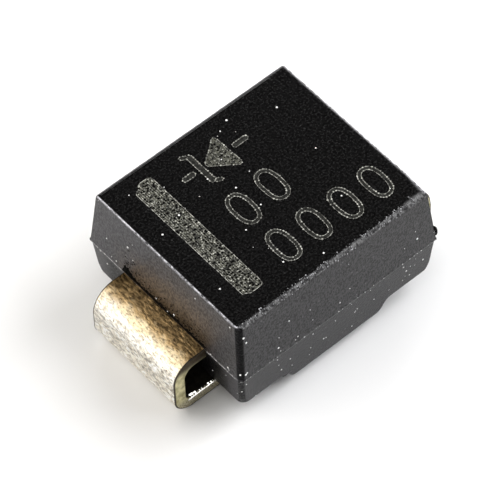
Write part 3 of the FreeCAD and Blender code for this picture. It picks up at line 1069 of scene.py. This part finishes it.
strokeLayer = pieceFromMesh("strokeLayer", flatMesh("strokeLayer", zeroShapes + barShapes, filmHeight), strokeFilm)
symbolLayer = pieceFromMesh("symbolLayer", flatMesh("symbolLayer", triangleShapes, filmHeight), bandFilm)
bandLayer = pieceFromMesh("bandLayer", flatMesh("bandLayer", bandShapes, bandHeight), bandFilm)
print("marks built:", sum(len(piece.data.polygons) for piece in onTop), "faces")

# parting line and flash, the flash beads pale as a painted highlight

flashForm = {
    "end": {"lineSize": 0.0062, "dotSize": 0.0085, "dotSpacing": 0.070, "jitter": 0.002},
    "side": {"lineSize": 0.0014, "dotSize": 0.0122, "dotSpacing": 0.080, "jitter": 0.004},
    "clearHalf": 1.03,        # half the gap that the lead leaves in the line
    "flakeHalf": 0.030, "flakeThick": 0.026, "flakeSides": 10,
    "flakeY": (-1.815, -1.82, -1.822, -1.824, -1.826, -1.828, -1.828),
    "flakeX": (2.040, 2.064, 2.086, 2.100, 2.106, 2.104, 2.096),
    "flakeZ": (1.62, 1.58, 1.53, 1.47, 1.41, 1.36, 1.335),
    "flakeWidths": (0.35, 0.75, 1.0, 1.0, 0.9, 0.6, 0.25),
}


def ringEdges(ring, keep):
    count = len(ring)
    edges = [(i, (i + 1) % count) for i in range(count) if keep(ring[i]) and keep(ring[(i + 1) % count])]
    return meshFromPoints("partingEdges", ring, edges=edges)


def buildFlake(f):
    # thin curved sliver of flash hanging from the corner at +X, -Y
    centres = np.column_stack([f["flakeX"], f["flakeY"], f["flakeZ"]])
    last = len(centres) - 1
    sides = f["flakeSides"]
    points = []
    for k, (centre, width) in enumerate(zip(centres, f["flakeWidths"])):
        along = (centres[min(k + 1, last)] - centres[max(k - 1, 0)]) * (1, 0, 1)
        along /= np.linalg.norm(along)
        outward = np.array([-along[2], 0, along[0]]) * f["flakeThick"] * width
        for i in range(sides):
            t = 2 * math.pi * i / sides
            points.append(centre + np.array([0, f["flakeHalf"] * width * math.cos(t), 0]) + outward * math.sin(t))
    mesh = meshFromPoints("flashFlake", points, tubeFaces(0, len(centres), sides))
    turnOutward(mesh)
    smoothShade(mesh)
    return mesh


def atBareEnd(p):
    return abs(p[0]) > seamX and abs(p[1]) > flashForm["clearHalf"]


def onLongSide(p):
    return abs(p[0]) <= seamX


seamX = partingRing[:, 0].max() - 0.03
endFlash = growMarks("endFlash", ringEdges(partingRing, atBareEnd), partingHighlight, 31, **flashForm["end"])
sideFlash = growMarks("sideFlash", ringEdges(partingRing, onLongSide), partingHighlight, 37, **flashForm["side"])
flashFlake = pieceFromMesh("flashFlake", buildFlake(flashForm), craterAndShadowBlack)
print("flash built")

# rims of the top face, part wear and part painted highlight: a thin pale line on the ends and along the far side at
# +Y, scattered pale chips and streaks on the long side at -Y

rimForm = {
    "end": {"lineSize": 0.0145, "dotSize": 0.0160, "dotSpacing": 0.06, "jitter": 0.003},
    "far": {"lineSize": 0.0040, "dotSize": 0.005, "dotSpacing": 0.09, "jitter": 0.002},
    "chips": {"lineSize": 0.0003, "dotSize": 0.0070, "dotSpacing": 0.11, "jitter": 0.016},
    "streaks": {"lineSize": 0.0074, "dotSize": 0.0105, "dotSpacing": 0.045, "jitter": 0.003},
    "sink": 0.0065, "farSink": 0.001, "chipRows": (2, 4, 6), "chipHeight": 1.5,
    "streakShare": 0.70, "streakSlant": 0.010, "streakSink": 0.6, "reach": 0.05,
}
middleRow = bodyForm["rimRows"] // 2
bodyOutward = ringPattern(bodyForm)[:, 2:]


def rimPlace(row, i, sink):
    # point of the top rounding, a little below its skin
    tilt = rimTilt(row)
    return rimRings[row][i] - np.array([*(bodyOutward[i] * math.cos(tilt)), math.sin(tilt)]) * sink


def rimEdges(rows, keep, sink):
    # lines along the rounding
    points, edges = [], []
    for row in rows:
        ring = rimRings[row]
        chosen = [i for i in range(len(ring)) if keep(ring[i])]
        index = {i: len(points) + k for k, i in enumerate(chosen)}
        points += [rimPlace(row, i, sink) for i in chosen]
        edges += [(index[i], index[(i + 1) % len(ring)]) for i in chosen if (i + 1) % len(ring) in index]
    return meshFromPoints("rimEdges", points, edges=edges)


def rimStreaks(f, keep, seed):
    # short strokes across the rounding
    rng = np.random.default_rng(seed)
    points, edges = [], []
    for i in range(len(rimRings[0])):
        if not keep(rimRings[middleRow][i]) or rng.random() > f["streakShare"]:
            continue
        first = int(rng.integers(0, 4))
        last = min(bodyForm["rimRows"], first + int(rng.integers(2, 7)))
        slant = rng.uniform(-0.3, 1.0) * f["streakSlant"]
        base = len(points)
        for row in range(first, last + 1):
            place = rimPlace(row, i, f["sink"] * f["streakSink"])
            points.append(place - np.array([slant * (row - first), 0, 0]))
        edges += [(k, k + 1) for k in range(base, len(points) - 1)]
    return meshFromPoints("rimStreaks", points, edges=edges)


rimX, rimY = (rimRings[middleRow][:, axis].max() - rimForm["reach"] for axis in (0, 1))


def nearSide(margin):
    return lambda p: p[1] < -rimY and abs(p[0]) < rimX - margin


endLine = rimEdges([middleRow], lambda p: abs(p[0]) > rimX, rimForm["sink"])
farLine = rimEdges([middleRow + 1], lambda p: p[1] > rimY, rimForm["farSink"])
chipLines = rimEdges(rimForm["chipRows"], nearSide(0.0), rimForm["sink"])
endRim = growMarks("endRim", endLine, wearAndHighlightRim, 41, **rimForm["end"])
farRim = growMarks("farRim", farLine, wearAndHighlightRim, 47, **rimForm["far"])
sideRim = growMarks("sideRim", chipLines, chipsAndGlint, 43, rimForm["chipHeight"], **rimForm["chips"])
streakLines = rimStreaks(rimForm, nearSide(0.06), 45)
rimScratches = growMarks("rimScratches", streakLines, chipsAndGlint, 45, 1.0, **rimForm["streaks"])
print("rims worn")

# painted shadow over the leads: dark ribbons and specks on the end faces

shadowRibbonForm = {
    "half": 1.04, "height": 0.065, "ragged": 0.06, "farHeight": 0.10, "farPart": (0.55, 1.0), "fadeOut": (-0.02, 0.08),
    "start": 0.012, "least": 0.03, "proud": 0.0035, "cell": 0.02, "rows": 6,
    "specks": ((650.0, 1.7), (260.0, 3.0), (90.0, 5.4)),     # density for each reach, in ribbon heights
    "speck": {"ashSize": 0.0085, "lineSize": 0.0002, "dotSize": 0.0002},
}


def shadowRibbonMesh(f, name, tall, end, seed):
    # ragged ribbon of painted shadow lying on the end face, from the lead upwards
    slope = math.tan(math.radians(bodyForm["endDraft"]))
    count = int(2 * f["half"] / f["cell"])
    points = []
    for i in range(count + 1):
        y = -f["half"] + 2 * f["half"] * i / count
        high = f["height"] + f["ragged"] * (wave(y * 5.0, seed, 0.0) + 0.6 * wave(y * 19.0, seed, 3.0))
        high += f["farHeight"] * swell(y, *f["farPart"])
        high = max(f["least"], high * tall) * swell(f["half"] - abs(y), *f["fadeOut"])
        for k in range(f["rows"] + 1):
            rise = f["start"] + high * k / f["rows"]
            wall = bodyHigh[0] - bodyForm["margin"] - rise * slope
            lift = f["proud"] * math.sin(math.pi * k / f["rows"]) * (1 if 0 < i < count else 0)
            points.append((end * (wall + lift), -end * y, partingHeight + rise))
    step = f["rows"] + 1
    starts = [i * step + k for i in range(count) for k in range(f["rows"])]
    mesh = meshFromPoints(name, points, [(a, a + 1, a + step + 1, a + step) for a in starts])
    smoothShade(mesh)
    return mesh


shadowRibbons = []
for name, end, seed in (("cathode", -1, 2.0), ("anode", 1, 6.0)):
    ribbon = shadowRibbonMesh(shadowRibbonForm, name + "ShadowRibbon", 1.0, end, seed)
    shadowRibbons.append(pieceFromMesh(name + "ShadowRibbon", ribbon, craterAndShadowBlack))
    for k, (density, reach) in enumerate(shadowRibbonForm["specks"]):
        label = name + "Specks%d" % k
        ribbon = shadowRibbonMesh(shadowRibbonForm, label, reach, end, seed + k)
        shadowRibbons.append(growMarks(label, ribbon, craterAndShadowBlack, 51 + k, ashDensity=density, **shadowRibbonForm["speck"]))
print("bleed laid")

# burr along the inner edge of the feet

burrForm = {
    "from": 2.48, "to": 1.64, "wide": 0.082, "narrow": 0.040, "widePart": (0.06, 0.24), "rough": 0.010,
    "scale": 0.042, "slope": 0.39, "tilt": 0.31, "sunk": 0.015, "proud": 0.006,
}


def buildBurr(f):
    # small overlapping scales of torn metal along the upper edge of each foot, on the long side at -Y
    rng = np.random.default_rng(61)
    edgeY = -leadForm["width"] / 2
    foot = leadForm["thickness"] - f["sunk"]
    points = []
    faces = []
    for end in (-1, 1):
        base = len(points)
        x = f["from"]
        while x > f["to"]:
            length = f["scale"] * rng.uniform(0.6, 1.4)
            share = (f["from"] - x) / (f["from"] - f["to"])
            size = f["wide"] + (f["narrow"] - f["wide"]) * swell(share, *f["widePart"])
            size += f["rough"] * rng.uniform(-1, 1)
            for step in (0.0, 0.9 * length):
                height = foot + step * f["tilt"] - 0.004
                outline = [
                    (-f["proud"], foot - 0.2 * size - 0.01), (-f["proud"], height),
                    (size * 0.7, height + size * 0.7 * f["slope"]), (size * 0.78, foot - 0.01),
                ]
                points += [(end * (x - step), edgeY + across, z) for across, z in outline]
            x -= length
        faces += tubeFaces(base, (len(points) - base) // 4, 4)
    mesh = meshFromPoints("footBurr", points, faces)
    turnOutward(mesh)
    return mesh


footBurr = pieceFromMesh("footBurr", buildBurr(burrForm), burrMetal)
print("burr built")

# dust on the body, thickest along the seam below the parting line

dustForm = {
    "topDensity": 2.0, "sideDensity": 6.0, "size": 0.023, "seamDrop": 0.28, "seed": 12,
    "seamSpread": 1600.0, "seamShare": 2.4, "restShare": 0.25, "smallest": 0.3, "power": 1.4, "squash": 0.55,
}


def buildDustTree(f):
    n, given, names = openTree("settledDust", "topDensity", "sideDensity", "seamHeight", "size")
    normal = n.split(n.add("GeometryNodeInputNormal").outputs[0])
    place = n.split(n.add("GeometryNodeInputPosition").outputs[0])
    up = n.math("GREATER_THAN", normal[2], 0.5)
    away = n.size(n.minus(place[2], given["seamHeight"]))
    close = n.minus(1.0, n.times(away, f["seamSpread"]), clamp=True)
    sideShare = n.times(n.plus(n.times(close, f["seamShare"]), f["restShare"]), given["sideDensity"])
    density = n.plus(n.times(up, given["topDensity"]), n.times(n.minus(1.0, up), sideShare))
    values = {"Mesh": given["geometry"], "Density": density, "Seed": given["seed"]}
    spread = n.add("GeometryNodeDistributePointsOnFaces", values).outputs
    share = n.math("POWER", randomSize(n, given["seed"], 0.0, 1.0), f["power"])
    size = n.times(n.plus(n.times(share, 1.0 - f["smallest"]), f["smallest"]), given["size"])
    grains = addBeads(n, spread[0], size, (1, 1, f["squash"]), Rotation=spread["Rotation"])
    closeTree(n, grains, given["finish"])
    return n.tree, names


dust = growFromTree("settledDust", bodyShell.data.copy(), *buildDustTree(dustForm), {
    "topDensity": dustForm["topDensity"] / mm ** 2, "sideDensity": dustForm["sideDensity"] / mm ** 2,
    "seamHeight": (partingHeight - dustForm["seamDrop"]) * mm, "size": dustForm["size"] * mm,
    "seed": dustForm["seed"], "finish": paleDust,
})
print("dust built:", len(dust.data.polygons), "faces")

# chip, glass and solder inside


def makeInner(name, low, high, metallic, roughness, size):
    return makeClouded(name, low, high, roughness, metallic, clouds=size / 8, fine=size)


silicon = makeInner("polishedSilicon", (0.07, 0.075, 0.085), (0.16, 0.17, 0.19), 0.6, (0.15, 0.3), 18000.0)
solder = makeInner("satinSolder", (0.42, 0.42, 0.43), (0.6, 0.6, 0.6), 1.0, (0.3, 0.5), 15000.0)
glass = makeInner("firedGlass", (0.55, 0.6, 0.45), (0.72, 0.75, 0.62), 0.0, (0.08, 0.22), 12000.0)
innerNodes = {"silicon_die": silicon, "die_passivation": glass, "cathode_solder": solder, "anode_solder": solder}
for node, material in innerNodes.items():
    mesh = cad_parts[node].data
    mesh.materials.clear()
    mesh.materials.append(material)
print("inner materials set")

# floor, world and lamps

studio = {
    "floor": (0.90, 0.90, 0.90, 1), "floorHalf": 400,
    "horizon": 0.7, "zenith": 0.13, "horizonEnds": 0.25,
    "lamps": [
        # name, turn from the camera's azimuth, elevation, distance, width, height, radiance, colour
        ("leftKey", -80, 12, 80, 60, 22, 2.35, (1.0, 0.975, 0.93)),
        ("leftSoft", -102, 32, 90, 165, 100, 1.40, (1.0, 0.965, 0.91)),
        ("leftTop", -62, 62, 90, 60, 60, 1.4, (1.0, 0.975, 0.93)),
        ("rightSoft", 102, 45, 80, 58, 55, 7.25, (0.98, 0.985, 1.0)),
        ("backSoft", 175, 22, 80, 60, 20, 8.0, (1.0, 1.0, 1.0)),
        ("frontFill", 0, 72, 90, 30, 30, 1.6, (1.0, 1.0, 1.0)),
    ],
}


def buildFloor(s):
    material, n, shader, _ = startMaterial("paleBoard")
    for key, value in {"Base Color": s["floor"], "Roughness": 0.9, "Specular IOR Level": 0.0}.items():
        n.feed(shader, key, value)
    half = s["floorHalf"]
    corners = [(-half, -half, 0), (half, -half, 0), (half, half, 0), (-half, half, 0)]
    floor = pieceFromMesh("paleFloor", meshFromPoints("paleFloor", corners, [(0, 1, 2, 3)]), material)


def buildWorld(s):
    world = bpy.data.worlds.new("softRoom")
    bpy.context.scene.world = world
    world.use_nodes = True
    n = NodeWriter(world.node_tree)
    background = next(node for node in n.tree.nodes if node.type == "BACKGROUND")
    height = n.split(n.add("ShaderNodeTexCoord").outputs["Generated"])[2]
    n.feed(background, "Strength", n.range(height, 0.0, s["horizonEnds"], s["horizon"], s["zenith"]))
    n.feed(background, "Color", (1, 1, 1, 1))


def hangLamp(name, turn, elevation, distance, width, height, radiance, colour):
    away = directionTo(viewpoint["azimuth"] + turn, elevation)
    lamp = bpy.data.lights.new(name, "AREA")
    lamp.shape = "RECTANGLE"
    lamp.size = width * mm
    lamp.size_y = height * mm
    lamp.energy = radiance * math.pi * lamp.size * lamp.size_y
    lamp.color = colour
    holder = bpy.data.objects.new(name, lamp)
    holder.location = away * distance * mm
    holder.rotation_mode = "QUATERNION"
    holder.rotation_quaternion = away.to_track_quat("Z", "Y")
    bpy.context.scene.collection.objects.link(holder)


buildFloor(studio)
buildWorld(studio)
for lampPlan in studio["lamps"]:
    hangLamp(*lampPlan)
bpy.context.scene.view_settings.view_transform = "Standard"
print("studio set")

# what rides where

moulded = [
    bodyShell, strokeLayer, symbolLayer, bandLayer, endFlash, sideFlash, flashFlake, endRim, farRim, sideRim,
    rimScratches, dust, *shadowRibbons, *onTop,
]
for piece in moulded:
    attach(piece, "root")
for piece in (cathodeStrip, anodeStrip, footBurr):
    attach(piece, "root")
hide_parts("epoxy_body")
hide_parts("cathode_lead")
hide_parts("anode_lead")
